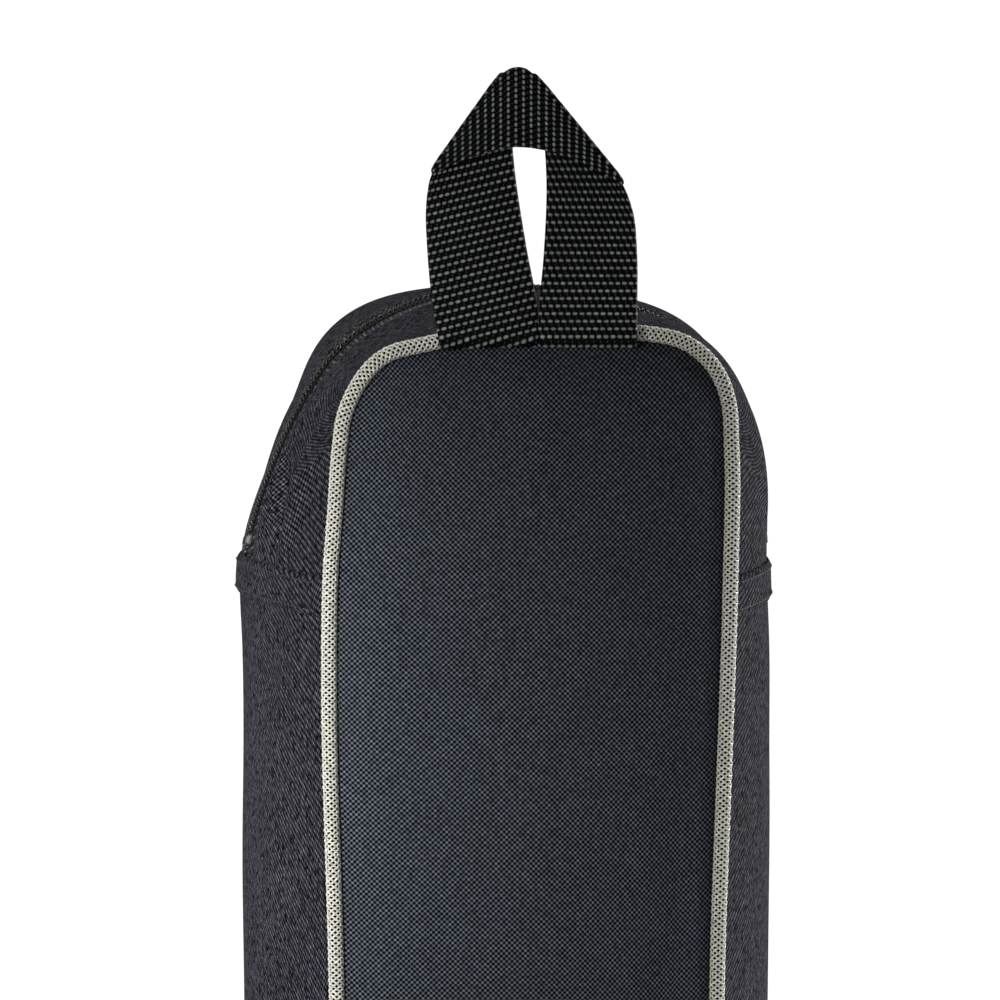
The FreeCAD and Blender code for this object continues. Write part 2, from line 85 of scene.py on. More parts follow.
class Section:
    """One section across the bag: top arc, corner arc, side line, foot arc and bottom line, right half."""

    def __init__(self, side_half, shoulder_z, corner_radius, top_slope, foot_half, foot_radius, bottom_z):
        self.side_half, self.shoulder_z, self.corner_radius = side_half, shoulder_z, corner_radius
        self.slope = math.radians(top_slope)
        self.foot_half, self.foot_radius, self.bottom_z = foot_half, foot_radius, bottom_z

    def points(self, u, inset):
        """Points at u, which counts the five stretches from the top centre, drawn in by an inset."""
        part = np.clip(u[None] - np.arange(5).reshape(-1, *[1] * u.ndim), 0, 1)
        radius, foot = self.corner_radius - inset, self.foot_radius - inset
        centre_x = self.side_half - self.corner_radius
        end_x = centre_x + radius * math.sin(self.slope)
        end_z = self.shoulder_z + radius * math.cos(self.slope)
        top_radius = end_x / math.sin(self.slope)
        top = self.slope * part[0]
        turn = self.slope + (PI / 2 - self.slope) * part[1]
        foot_x, foot_z = self.foot_half - self.foot_radius, self.bottom_z + self.foot_radius
        under = part[3] * PI / 2
        stretches = [
            (top_radius * np.sin(top), end_z + top_radius * (np.cos(top) - math.cos(self.slope))),
            (centre_x + radius * np.sin(turn), self.shoulder_z + radius * np.cos(turn)),
            (centre_x + radius + (foot_x + foot - centre_x - radius) * part[2],
             self.shoulder_z + (foot_z - self.shoulder_z) * part[2]),
            (foot_x + foot * np.cos(under), foot_z - foot * np.sin(under)),
            (foot_x * (1 - part[4]), foot_z - foot + 0 * u),
        ]
        which = np.clip(np.floor(u), 0, 4).astype(int)
        return [np.choose(which, [stretch[axis] for stretch in stretches]) for axis in (0, 1)]


SEAM = Section(side_half=54.3, shoulder_z=312.5, corner_radius=23.0, top_slope=14.0,
               foot_half=52.5, foot_radius=22.0, bottom_z=4.0)
WAIST = Section(side_half=ARCH_RADIUS, shoulder_z=ARCH_Z, corner_radius=ARCH_RADIUS, top_slope=30.0,
                foot_half=72.0, foot_radius=28.0, bottom_z=-4.0)
# the outline's five stretches, measured in the zip's section
STRETCH_LENGTHS = [
    ARCH_RADIUS * PI / 6, ARCH_RADIUS * PI / 3, ARCH_Z - (WAIST.bottom_z + WAIST.foot_radius),
    WAIST.foot_radius * PI / 2, WAIST.foot_half - WAIST.foot_radius]
BREAKS = np.concatenate([[0], np.cumsum(STRETCH_LENGTHS)])
HALF_GIRTH = BREAKS[-1]


def swell(y):
    """How far the section at a depth has grown from the end seams' (0) to the zip's (1)."""
    return (1 - (y / HALF_DEPTH) ** 2) / (1 - (ZIP_Y / HALF_DEPTH) ** 2)


def section(along, y, inset=0.0):
    """Points on the bag's walls. along is signed, and runs past the base's centre beyond half the girth."""
    along, y, inset = np.broadcast_arrays(along, y, inset)
    sign = np.sign(along + 1e-9)
    length = np.abs(along)
    sign = np.where(length > HALF_GIRTH, -sign, sign)
    length = np.where(length > HALF_GIRTH, 2 * HALF_GIRTH - length, length)
    u = np.interp(length, BREAKS, range(6))
    seam_x, seam_z = SEAM.points(u, inset)
    waist_x, waist_z = WAIST.points(u, inset)
    share = swell(y)
    x = seam_x + (waist_x - seam_x) * share
    z = seam_z + (waist_z - seam_z) * share
    return np.stack([x * sign, y, np.maximum(z, inset)], axis=-1)


def height_to_length(z, y):
    """The length along the outline, on the right, at which the side wall passes a height."""
    table = np.linspace(BREAKS[1], BREAKS[4], 900)
    heights = section(table[:, None], np.atleast_1d(y)[None, :])[..., 2]
    z = np.broadcast_to(z, heights.shape[1:])
    return np.array([np.interp(-z[i], -heights[:, i], table) for i in range(heights.shape[1])])


# ---- how the soft walls sag and swell ----
# Each swelling: length along the outline, depth, reach along, reach in depth, and height.

SWELLINGS = [
    (-46, 30, 28, 34, 5.2),
    (-72, 20, 13, 50, -1.6),
    (-56, -50, 34, 21, -3.4),
    (-92, 0, 22, 80, -3.0),
    (-128, -5, 14, 70, 0.8),
    (-157, -95, 55, 34, 1.9),
    (-255, 0, 95, 74, 2.7),
    (4, -14, 34, 60, -1.6),
    (58, -56, 24, 26, 4.2),
    (56, 24, 27, 38, 7.6),
    (114, 0, 28, 46, -5.0),
    (160, 0, 30, 70, -1.2),
    (210, 0, 90, 70, -1.0),
    (245, -95, 80, 40, -3.2),
]
# Each fold: both ends (length along, depth), its width and its height.
FOLDS = [
    ((-60, -60), (-114, -38), 5.5, 3.2),
    ((-74, -84), (-120, -62), 5.0, 3.0),
    ((-84, -50), (-118, -54), 3.6, -2.2),
    ((-56, -78), (-84, -66), 4.5, -1.2),
    ((-132, -70), (-160, -40), 7.0, -0.8),
    ((70, -70), (112, -52), 5.0, 0.9),
    ((-70, 60), (-114, 36), 5.0, 1.3),
    ((72, 62), (114, 40), 5.0, 1.2),
    ((-150, 20), (-230, 55), 11.0, -1.2),
    ((150, 30), (240, 55), 12.0, -1.1),
    ((-30, 50), (34, 62), 9.0, -1.4),
]
# How the front seam's outline is drawn off its even shape: centre (x, z), reach, and movement (x, z).
DRAWS = [
    (-49, 323, 17, 3.0, -0.5),
    (-30, 336, 13, 0.2, -1.1),
    (38, 335, 18, 0.0, 1.9),
    (54, 314, 11, -0.9, 0.0),
    (0, 200, 260, 0.45, 0.0),
]
HELD = 14.0                  # how far the seams and the zip hold the cloth smooth beside them
LOOSE = 42.0                 # how far from a held line the cloth moves freely


def fold_height(along, y, start, end, width):
    """How near points are to a fold's line, from 0 to 1, fading out towards its ends."""
    start, end = np.array(start, float), np.array(end, float)
    run = end - start
    offset = np.stack([along - start[0], y - start[1]], axis=-1)
    share = np.clip(offset @ run / (run @ run), 0, 1)
    gap = offset - share[..., None] * run
    fade = np.sin(PI * np.clip(share, 0.04, 0.96)) ** 0.5
    return np.exp(-(gap ** 2).sum(-1) / width ** 2) * fade


def soften(points):
    """Moves points of the soft walls in and out, as packed fabric lies."""
    x, y, z = points[..., 0], points[..., 1], points[..., 2]
    rise = np.maximum(z - ARCH_Z, 0)
    reach = np.hypot(x, rise)
    side = np.tanh(x / 6)
    on_arch = ARCH_RADIUS * (PI / 2 - np.arctan2(rise, np.abs(x) + 1e-6)) * np.sign(x)
    below = (ARCH_RADIUS * PI / 2 + ARCH_Z - z) * np.sign(x)
    along = np.where(z > ARCH_Z, on_arch, below)
    move = sum(a * np.exp(-((along - s) / ws) ** 2 - ((y - d) / wd) ** 2) for s, d, ws, wd, a in SWELLINGS)
    free = (1 - np.exp(-((HALF_DEPTH - np.abs(y)) / HELD) ** 2)) * (1 - np.exp(-((y - ZIP_Y) / HELD) ** 2))
    move = move + free * sum(a * fold_height(along, y, p, q, w) for p, q, w, a in FOLDS)
    wave = np.sin(along / 17 + y / 31) * np.sin(y / 23 - along / 41 + 1.3)
    move = move + 0.35 * free * wave
    grip = np.minimum(reach / LOOSE, 1) ** 2 * np.clip((z - 6) / 30, 0, 1)
    move = move * grip * np.where(z > ARCH_Z, 1, np.abs(side))
    scale = move / np.maximum(reach, 1e-6)
    front = np.exp(-((HALF_DEPTH + y).clip(0) / LOOSE) ** 2)
    near = [(dx, dz, front * np.exp(-((x - cx) ** 2 + (z - cz) ** 2) / size ** 2))
            for cx, cz, size, dx, dz in DRAWS]
    drawn_x = sum(dx * share for dx, _, share in near)
    drawn_z = sum(dz * share for _, dz, share in near)
    return points + np.stack([x * scale + drawn_x, 0 * y, rise * scale + drawn_z], axis=-1)


# ---- meshes ----

def unit(vectors):
    """The vectors at a length of one."""
    return vectors / np.linalg.norm(vectors, axis=-1, keepdims=True)


def run_along(line):
    """How far along a line each of its points lies."""
    return np.concatenate([[0], np.cumsum(np.linalg.norm(np.diff(line, axis=0), axis=1))])


def read_along(run, rows, wanted):
    """Rows of three numbers, read between the points of a line at wanted lengths."""
    return np.stack([np.interp(wanted, run, rows[:, axis]) for axis in range(3)], axis=1)


def build(name, points, quads, weave=None, caps=()):
    """A mesh object from points in millimetres, with quads and larger flat faces (caps).

    weave holds each point's place in its cloth, in millimetres.
    """
    points = np.asarray(points, float).reshape(-1, 3)
    faces = [tuple(face) for face in caps]
    quads = np.asarray(quads, int).reshape(-1, 4)
    mesh = bpy.data.meshes.new(name)
    mesh.vertices.add(len(points))
    mesh.vertices.foreach_set("co", (points * MM).ravel())
    loops = np.concatenate([quads.ravel(), np.array([i for face in faces for i in face], int)])
    sizes = np.array([4] * len(quads) + [len(face) for face in faces], int)
    mesh.loops.add(len(loops))
    mesh.loops.foreach_set("vertex_index", loops.astype(np.int32))
    mesh.polygons.add(len(sizes))
    starts = np.concatenate([[0], np.cumsum(sizes)[:-1]]).astype(np.int32)
    mesh.polygons.foreach_set("loop_start", starts)
    mesh.update(calc_edges=True)
    mesh.validate()
    mesh.shade_smooth()
    if weave is not None:
        place = np.zeros((len(points), 3))
        given = np.asarray(weave, float)
        given = given.reshape(-1, given.shape[-1])
        place[:, :given.shape[1]] = given
        attribute = mesh.attributes.new("weave", "FLOAT_VECTOR", "POINT")
        attribute.data.foreach_set("vector", place.astype(np.float32).ravel())
    obj = bpy.data.objects.new(name, mesh)
    bpy.context.scene.collection.objects.link(obj)
    return obj


def tidy(obj, distance=0.02):
    """Welds points that coincide and turns every face outwards."""
    work = bmesh.new()
    work.from_mesh(obj.data)
    bmesh.ops.remove_doubles(work, verts=work.verts, dist=distance * MM)
    bmesh.ops.recalc_face_normals(work, faces=work.faces)
    work.to_mesh(obj.data)
    work.free()
    obj.data.shade_smooth()
    return obj


def shell_quads(rows, columns, wrap=False, meeting=False):
    """Quads of a closed shell between two equal grids: the outer one first, then the inner one.

    wrap joins the last row to the first. meeting says that the last column folds onto itself and needs no rim.
    """
    index = np.arange(rows * columns).reshape(rows, columns)
    if wrap:
        index = np.vstack([index, index[:1]])
    inner = index + rows * columns

    def cells(a):
        return np.stack([a[:-1, :-1], a[1:, :-1], a[1:, 1:], a[:-1, 1:]], axis=-1).reshape(-1, 4)

    def rim(a, b):
        return np.stack([a[:-1], a[1:], b[1:], b[:-1]], axis=-1)

    quads = [cells(index), cells(inner)[:, ::-1]]
    quads.append(rim(index[:, 0], inner[:, 0])[:, ::-1])
    if not meeting:
        quads.append(rim(index[:, -1], inner[:, -1]))
    if not wrap:
        quads += [rim(index[0], inner[0]), rim(index[-1], inner[-1])[:, ::-1]]
    return np.concatenate(quads)


def cloth(name, outer, inner, weave, wrap=False, meeting=False):
    """A closed shell of fabric between two grids of points."""
    rows, columns = outer.shape[:2]
    points = np.concatenate([outer.reshape(-1, 3), inner.reshape(-1, 3)])
    place = np.concatenate([weave.reshape(rows * columns, -1)] * 2)
    return tidy(build(name, points, shell_quads(rows, columns, wrap, meeting), place))


def wall(name, start, end, y_low, y_high, inset=0.0, thick=1.4, step=2.2, lift=None):
    """A piece of the bag's wall. start and end give its ends along the outline at each depth.

    lift(along_share, y) adds to the outer face's inset, to round an edge over.
    """
    ys = np.linspace(y_low, y_high, max(3, int((y_high - y_low) / step) + 1))
    first = start(ys) if callable(start) else np.full_like(ys, start)
    last = end(ys) if callable(end) else np.full_like(ys, end)
    count = max(3, int(np.abs(last - first).max() / step) + 1)
    share = np.linspace(0, 1, count)[:, None]
    along = first + (last - first) * share
    depth = np.broadcast_to(ys, along.shape)
    dip = 1.3 * np.exp(-((HALF_DEPTH - np.abs(depth)) / 3.2) ** 2)
    out = inset + dip + (lift(share, depth) if lift else 0)
    outer = soften(section(along, depth, out))
    inner = soften(section(along, depth, np.maximum(out + 0.25, inset + dip + thick)))
    return cloth(name, outer, inner, np.stack([along, depth], axis=-1))


def rings(across, up, angles, width, height):
    """Rings of points about a line, from its two cross directions at each point."""
    return (width * across[:, None] * np.cos(angles)[:, None] + height * up[:, None] * np.sin(angles)[:, None])


def tube_faces(count, sides, closed, first=0):
    """Quads and end caps of a tube of rings whose points are numbered from first."""
    index = first + np.arange(count * sides).reshape(count, sides)
    ring = np.hstack([index, index[:, :1]])
    if closed:
        ring = np.vstack([ring, ring[:1]])
    quads = np.stack([ring[:-1, :-1], ring[:-1, 1:], ring[1:, 1:], ring[1:, :-1]], axis=-1).reshape(-1, 4)
    return quads, [] if closed else [tuple(index[0]), tuple(index[-1][::-1])]


def circle(sides):
    """Evenly spaced angles round a ring."""
    return np.linspace(0, 2 * PI, sides, endpoint=False)


def tube(name, line, radius, sides, closed=True):
    """A round tube along a line of points."""
    ahead = unit(np.roll(line, -1, 0) - np.roll(line, 1, 0) if closed else np.gradient(line, axis=0))
    hint = np.array([0, 1, 0]) if abs(ahead[:, 1]).max() < 0.9 else np.array([1, 0, 0])
    side = unit(np.cross(ahead, hint))
    points = line[:, None] + rings(side, np.cross(side, ahead), circle(sides), radius, radius)
    quads, caps = tube_faces(len(line), sides, closed)
    return tidy(build(name, points, quads, caps=caps), 0.002)


# ---- materials ----

class Nodes:
    """A small writer of shader nodes."""

    def __init__(self, name):
        self.material = bpy.data.materials.new(name)
        self.material.use_nodes = True
        self.tree = self.material.node_tree
        self.shader = self.tree.nodes["Principled BSDF"]

    def feed(self, socket, source):
        """Links a socket to another one, or sets its value."""
        if isinstance(source, bpy.types.NodeSocket):
            self.tree.links.new(source, socket)
        else:
            socket.default_value = source

    def math(self, operation, *numbers):
        node = self.tree.nodes.new("ShaderNodeMath")
        node.operation = operation
        for socket, number in zip(node.inputs, numbers):
            self.feed(socket, number)
        return node.outputs[0]

    def rise(self, wave):
        """A wave between -1 and 1, drawn in between 0 and 1."""
        return self.math("MULTIPLY_ADD", wave, 0.5, 0.5)

    def place(self):
        """The three numbers of a point's place in its cloth, in millimetres."""
        node = self.tree.nodes.new("ShaderNodeAttribute")
        node.attribute_name = "weave"
        split = self.tree.nodes.new("ShaderNodeSeparateXYZ")
        self.tree.links.new(node.outputs["Vector"], split.inputs[0])
        return split.outputs

    def wave(self, number, period):
        """A sine of a length, with a period in millimetres."""
        return self.math("SINE", self.math("MULTIPLY", number, 2 * PI / period))

    def noise(self, scale, detail=3.0):
        """Noise over the object's own space; scale counts its lumps in a metre."""
        where = self.tree.nodes.new("ShaderNodeTexCoord")
        node = self.tree.nodes.new("ShaderNodeTexNoise")
        node.inputs["Scale"].default_value = scale
        node.inputs["Detail"].default_value = detail
        node.inputs["Roughness"].default_value = 0.55
        self.tree.links.new(where.outputs["Object"], node.inputs["Vector"])
        return node.outputs[0]

    def ramp(self, source, *stops):
        """Colours against a number: each stop is a position and a linear colour."""
        node = self.tree.nodes.new("ShaderNodeValToRGB")
        self.feed(node.inputs[0], source)
        ramp = node.color_ramp
        while len(ramp.elements) < len(stops):
            ramp.elements.new(0.5)
        for element, (position, colour) in zip(ramp.elements, stops):
            element.position = position
            element.color = (*colour, 1)
        return node.outputs[0]

    def tint(self, colour, amount, low, high):
        """Scales a colour by a number that runs from low to high as amount runs from 0 to 1."""
        node = self.tree.nodes.new("ShaderNodeMapRange")
        self.feed(node.inputs[0], amount)
        node.inputs[3].default_value, node.inputs[4].default_value = low, high
        scale = self.tree.nodes.new("ShaderNodeVectorMath")
        scale.operation = "SCALE"
        self.feed(scale.inputs[0], colour)
        self.feed(scale.inputs["Scale"], node.outputs[0])
        return scale.outputs[0]

    def bump(self, height, distance):
        """Relief from a height between 0 and 1, which stands for a distance in millimetres."""
        node = self.tree.nodes.new("ShaderNodeBump")
        node.inputs["Distance"].default_value = distance * MM
        node.inputs["Strength"].default_value = 1.0
        self.feed(node.inputs["Height"], height)
        self.feed(self.shader.inputs["Normal"], node.outputs[0])

    def finish(self, roughness, specular, sheen=0.0, sheen_tint=(1, 1, 1)):
        """Sets the numbers that are the same all over, and gives the material."""
        inputs = self.shader.inputs
        inputs["Roughness"].default_value = roughness
        inputs["Specular IOR Level"].default_value = specular
        inputs["Sheen Weight"].default_value = sheen
        inputs["Sheen Tint"].default_value = (*sheen_tint, 1)
        inputs["Sheen Roughness"].default_value = 0.4
        return self.material


def plain_weave(name, yarn, dark, light, bump, roughness, specular, sheen, speckle, mottle=0.25, grain=900):
    """Plain-woven cloth: yarns cross one over, one under, with a pitch in millimetres.

    mottle varies its colour over some centimetres, and speckle from yarn to yarn, grain lumps in a metre.
    """
    n = Nodes(name)
    place = n.place()
    crossing = n.math("MULTIPLY", n.wave(place[0], 2 * yarn), n.wave(place[1], 2 * yarn))
    level = n.rise(crossing)
    # The colour runs from dark in the hollows to light on the raised crossings: painted shade and painted
    # highlight at the yarns' scale.
    colour = n.ramp(level, (0.32, dark), (0.95, light))
    colour = n.tint(colour, n.noise(55), 1 - mottle, 1 + mottle)
    n.feed(n.shader.inputs["Base Color"], n.tint(colour, n.noise(grain, 1.0), 1 - speckle, 1 + speckle))
    n.bump(level, bump)
    return n.finish(roughness, specular, sheen, (0.75, 0.68, 0.6))


def ribbed(name, across, along, dark, light, bump, specular, sheen):
    """Narrow tape: yarns that show in rows along it and in ribs across it, with pitches in millimetres."""
    n = Nodes(name)
    place = n.place()
    level = n.math("MULTIPLY", n.rise(n.wave(place[0], along)), n.rise(n.wave(place[1], across)))
    # The colour runs from dark between the yarns to light on their raised ribs: painted shade and painted
    # highlight.
    colour = n.ramp(level, (0.2, dark), (0.85, light))
    n.feed(n.shader.inputs["Base Color"], n.tint(colour, n.noise(700, 2.0), 0.6, 1.4))
    n.bump(level, bump)
    return n.finish(0.5, specular, sheen, (0.8, 0.78, 0.72))


def beaded(name, dark, light):
    """Webbing with painted highlights on its raised picks and painted shade between them. The third number of
    its place says how high it stands, from 0 to 1.
    """
    n = Nodes(name)
    colour = n.ramp(n.place()[2], (0.52, dark), (0.97, light))
    n.feed(n.shader.inputs["Base Color"], n.tint(colour, n.noise(600, 2.0), 0.1, 1.9))
    return n.finish(0.6, 0.08)


def grained(name, colour, roughness, specular, scale, bump, sheen=0.0, spread=0.15):
    """A moulded, painted or spun surface with a fine grain."""
    n = Nodes(name)
    grain = n.noise(scale, 4.0)
    n.feed(n.shader.inputs["Base Color"], n.tint(colour, grain, 1 - spread, 1 + spread))
    n.bump(grain, bump)
    return n.finish(roughness, specular, sheen)


panel_cloth = plain_weave("panel_fabric_look", 0.72, (0.0002, 0.0003, 0.0004), (0.135, 0.150, 0.184), 0.3,
                          roughness=0.85, mottle=0.1, speckle=0.8, specular=0.05, sheen=0.0)
# Cloth for the walls: the end panels' kind of weave, greyer and about a third darker. The darker tone is
# painted shade, set against the stronger light that the walls catch from the key lamp.
gusset_cloth = plain_weave("gusset_fabric_look", 0.85, (0.0008, 0.0008, 0.001), (0.090, 0.090, 0.112), 0.5,
                           roughness=0.85, mottle=0.12, speckle=2.4, grain=620, specular=0.05, sheen=0.0)
lining_cloth = plain_weave("lining_look", 0.35, (0.02, 0.021, 0.023), (0.05, 0.052, 0.056), 0.08,
                           roughness=0.5, specular=0.3, sheen=0.05, speckle=0.2)
zip_tape_look = ribbed("zip_tape_look", 1.2, 1.52, (0.003, 0.003, 0.003), (0.12, 0.125, 0.115), 0.25,
                       specular=0.2, sheen=0.02)
binding_look = ribbed("binding_look", 1.6, 1.2, (0.01, 0.01, 0.011), (0.05, 0.052, 0.056), 0.15,
                      specular=0.4, sheen=0.03)
webbing_look = beaded("webbing_look", (0.0004, 0.0006, 0.0006), (0.31, 0.34, 0.325))
coil_look = grained("coil_look", (0.02, 0.021, 0.02), 0.25, 0.6, scale=900, bump=0.02)
thread_look = grained("thread_look", (0.02, 0.021, 0.024), 0.45, 0.3, scale=3000, bump=0.06, sheen=0.02)
braid_look = grained("braid_look", (0.68, 0.66, 0.58), 0.3, 0.8, scale=1400, bump=0.1, spread=0.9)
core_look = grained("braid_core_look", (0.002, 0.002, 0.002), 0.7, 0.1, scale=2500, bump=0.08)
metal_look = grained("zip_metal_look", (0.02, 0.021, 0.022), 0.45, 0.4, scale=2200, bump=0.015)
board_look = grained("board_look", (0.03, 0.03, 0.032), 0.55, 0.4, scale=700, bump=0.08)


# ---- placing pieces on bodies ----


def place(obj, look, slot, body, nodes=()):
    """Gives a piece its material and hides the CAD nodes it replaces. It sets the piece on a body, except for
    the mouth and the loop's bend, whose pieces stay where they are in the world. slot is not used.
    """
    obj.data.materials.clear()
    obj.data.materials.append(look)
    if body == "mouth":
        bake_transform(obj)
    elif body == "loop_bend":
        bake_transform(obj)
    else:
        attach(obj, body)
    if nodes:
        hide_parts(*nodes)
    return obj


# the bag's two ends: name, which way they face, and the body name given to their pieces
ENDS = (("front", -1, "mouth"), ("rear", 1, "bag"))


def end_nodes(name, piece):
    """The CAD nodes of a piece at one end: one at the rear, and three at the front, where the mouth bends."""
    if name == "rear":
        return [f"rear_{piece}"]
    return [f"front_{piece}_{part}" for part in ("lower", "crease", "upper")]


# ---- walls ----

SEAM_Y = HALF_DEPTH - 1.0
FRONT_EDGE, REAR_EDGE = ZIP_Y - ZIP_HALF, ZIP_Y + ZIP_HALF
LINING_Y = 91.0
LINING = {"inset": 1.7, "thick": 0.8, "step": 4}
UNDER_HEM = 5.0              # how far below the hem's top the side panels and the lining begin
BASE_GAP = 0.2


def hem(height, rise=2.5):
    """The outline length of a line along the hem, which rises a little in the middle of each side."""
    return lambda y: height_to_length(height + rise * swell(y), y)


def base_seam(y):
    return height_to_length(BASE_SEAM_Z, y)


def base_edge(y):
    return height_to_length(BASE_SEAM_Z + BASE_GAP, y)


def both_sides(start, end):
    """The same stretch of wall on the right and on the left."""
    return {"right": (start, end), "left": (lambda y: -end(y), lambda y: -start(y))}


def hem_lift(share, depth):
    """Rounds over the long edges of the bands."""
    return 0.7 * np.exp(-(np.minimum(share, 1 - share) / 0.07) ** 2)


def side_walls():
    for side, (start, end) in both_sides(hem(HEM_TOP - UNDER_HEM), base_seam).items():
        obj = wall(f"{side}_side_panel", start, end, -SEAM_Y, SEAM_Y, step=1.6)
        place(obj, gusset_cloth, "panel_fabric", "mouth", [f"{side}_side_panel", f"{side}_side_crease"])
    for side, (start, end) in both_sides(hem(HEM_TOP), hem(HEM_LOW)).items():
        obj = wall(f"{side}_end_band", start, end, -SEAM_Y, SEAM_Y, inset=-1.2, thick=1.1, step=0.9,
                   lift=hem_lift)
        nodes = [f"{side}_end_band"] + (["end_band_creases"] if side == "left" else [])
        place(obj, gusset_cloth, "band_tape", "mouth", nodes)
    obj = wall("base_panel", base_edge, lambda y: 2 * HALF_GIRTH - base_edge(y), -SEAM_Y, SEAM_Y)
    place(obj, gusset_cloth, "panel_fabric", "bag", ["base_panel"])


def gussets():
    tuck = hem(HEM_TOP - UNDER_HEM + 0.5)
    for name, side, body in ENDS:
        edge = ZIP_Y + side * (ZIP_HALF - 0.6)
        low, high = sorted((edge, side * SEAM_Y))

        def lift(share, depth):
            return 0.75 * np.exp(-((depth - edge) / 0.8) ** 2)

        obj = wall(f"{name}_zip_gusset", lambda y: -tuck(y), tuck, low, high, step=1.3, lift=lift)
        place(obj, gusset_cloth, "panel_fabric", body, [f"{name}_zip_gusset"])
        obj = wall(f"{name}_gusset_lining", lambda y: -tuck(y), tuck, max(low, -LINING_Y), min(high, LINING_Y),
                   **LINING)
        place(obj, lining_cloth, "lining_fabric", body, [f"{name}_gusset_lining"])


def body_lining():
    start = hem(HEM_TOP - UNDER_HEM)
    obj = wall("body_lining", start, lambda y: 2 * HALF_GIRTH - start(y), -LINING_Y, LINING_Y, **LINING)
    place(obj, lining_cloth, "lining_fabric", "mouth", ["body_lining", "side_crease_lining"])


def bindings():
    """Tape folded over the raw seam edges inside, thickest at its middle."""
    for name, side, body in ENDS:
        low, high = sorted((side * 84.5, side * 91.5))
        ys = np.linspace(low, high, 6)
        along = np.linspace(-HALF_GIRTH, HALF_GIRTH, 420, endpoint=False)[:, None]
        thinner = 0.5 * (1 - np.sin(PI * (ys - low) / (high - low)))
        outer = soften(section(along, ys[None], 2.6))
        inner = soften(section(along, ys[None], 3.9 - thinner))
        weave = np.stack(np.broadcast_arrays(along, ys[None]), -1)
        obj = cloth(f"{name}_seam_binding", outer, inner, weave, wrap=True)
        place(obj, binding_look, "binding_tape", body, end_nodes(name, "seam_binding"))


# ---- end panels ----

SPINE_LOW, SPINE_HIGH = 52.0, 292.0
EDGE_FILL, CROWN = 5.6, 4.8  # how far a panel stands out just inside its seam, and more at its middle


def panel_face(side, lead, shift, steps, turns):
    """A pillowed end panel as rings between the seam outline and a spine up its middle.

    lead is how far inside the seam it starts, and shift how far it lies behind the outer face.
    """
    along = np.linspace(-HALF_GIRTH, HALF_GIRTH, turns, endpoint=False)
    rim = section(along, side * HALF_DEPTH)
    centre = rim.copy()
    centre[:, 0] = 0
    centre[:, 2] = np.clip(rim[:, 2], SPINE_LOW, SPINE_HIGH)
    gap = np.linalg.norm(rim - centre, axis=1)
    share = np.linspace(0, 1, steps) ** 1.6
    inward = lead + (gap[:, None] - lead) * share[None, :]
    part = inward / gap[:, None]
    points = rim[:, None] + (centre - rim)[:, None] * part[..., None]
    edge = np.maximum(inward - 3.0, 0)
    rise = -1.2 + 2.0 * np.clip((inward - 1.6) / 1.6, 0, 1) + EDGE_FILL * (1 - np.exp(-edge / 6.5))
    rise = rise + CROWN * (1 - (1 - np.clip(part, 0, 1)) ** 2)
    points[..., 1] = side * (HALF_DEPTH + rise - shift)
    weave = np.stack([points[..., 0], points[..., 2]], axis=-1)
    soft = soften(points)
    ripple = np.sin(points[..., 2] / 37 + 0.6) * np.sin(points[..., 0] / 29 + points[..., 2] / 83)
    soft[..., 1] += side * 0.5 * ripple * np.clip(inward / 20, 0, 1)
    return soft, weave


def end_panels():
    for name, side, body in ENDS:
        outer, weave = panel_face(side, 1.6, 0.0, 64, 360)
        inner, _ = panel_face(side, 1.8, 1.3, 64, 360)
        obj = cloth(f"{name}_panel", outer, inner, weave, wrap=True, meeting=True)
        place(obj, panel_cloth, "panel_fabric", body, end_nodes(name, "panel"))
        outer, weave = panel_face(side, 3.2, 1.8, 20, 180)
        inner, _ = panel_face(side, 3.4, 2.6, 20, 180)
        obj = cloth(f"{name}_lining", outer, inner, weave, wrap=True, meeting=True)
        place(obj, lining_cloth, "lining_fabric", body, end_nodes(name, "lining"))


def seam_line(side, spacing):
    """The seam outline at one end as evenly spaced points, and its length."""
    along = np.linspace(-HALF_GIRTH, HALF_GIRTH, 4000, endpoint=False)
    dense = soften(section(along, side * HALF_DEPTH))
    dense = np.vstack([dense, dense[:1]])
    run = run_along(dense)
    count = int(run[-1] / spacing)
    return read_along(run, dense, np.arange(count) * run[-1] / count), run[-1]


STRANDS = 6                  # wound each way
STRAND_HALF_WIDTH, STRAND_HALF_THICK, STRAND_SIDES = 0.27, 0.32, 6
BRAID_PITCH = 8.8
BRAID_RADIUS = 2.35
BRAID_STEP = 0.42
CORE_RADIUS = BRAID_RADIUS - 0.62


def piping():
    """A braided cord: strands wound both ways over a dark core, passing over and under each other."""
    deep = np.array([0.0, 1.0, 0.0])
    for name, side, body in ENDS:
        line, total = seam_line(side, BRAID_STEP)
        count = len(line)
        outward = unit(np.cross(unit(np.roll(line, -1, 0) - np.roll(line, 1, 0)), deep))
        phase = np.arange(count) / count * round(total / BRAID_PITCH) * 2 * PI
        over_under = np.cos(STRANDS * 2 * phase)
        points, quads = [], []
        for way in (1, -1):
            for strand in range(STRANDS):
                around = way * phase + 2 * PI * strand / STRANDS
                radial = outward * np.cos(around)[:, None] + deep * np.sin(around)[:, None]
                radius = BRAID_RADIUS - 0.5 + way * 0.18 * over_under
                middle = line + radial * radius[:, None]
                flat = unit(np.cross(unit(np.roll(middle, -1, 0) - np.roll(middle, 1, 0)), radial))
                points.append(middle[:, None] + rings(flat, radial, circle(STRAND_SIDES), STRAND_HALF_WIDTH,
                                                      STRAND_HALF_THICK))
                quads.append(tube_faces(count, STRAND_SIDES, True, len(quads) * count * STRAND_SIDES)[0])
        obj = tidy(build(f"{name}_piping", np.concatenate(points), np.concatenate(quads)), 0.001)
        place(obj, braid_look, "piping_braid", body, end_nodes(name, "piping"))
        core = tube(f"{name}_piping_core", line[::4], CORE_RADIUS, 14)
        place(core, core_look, "piping_braid", body)


# ---- the zip ----

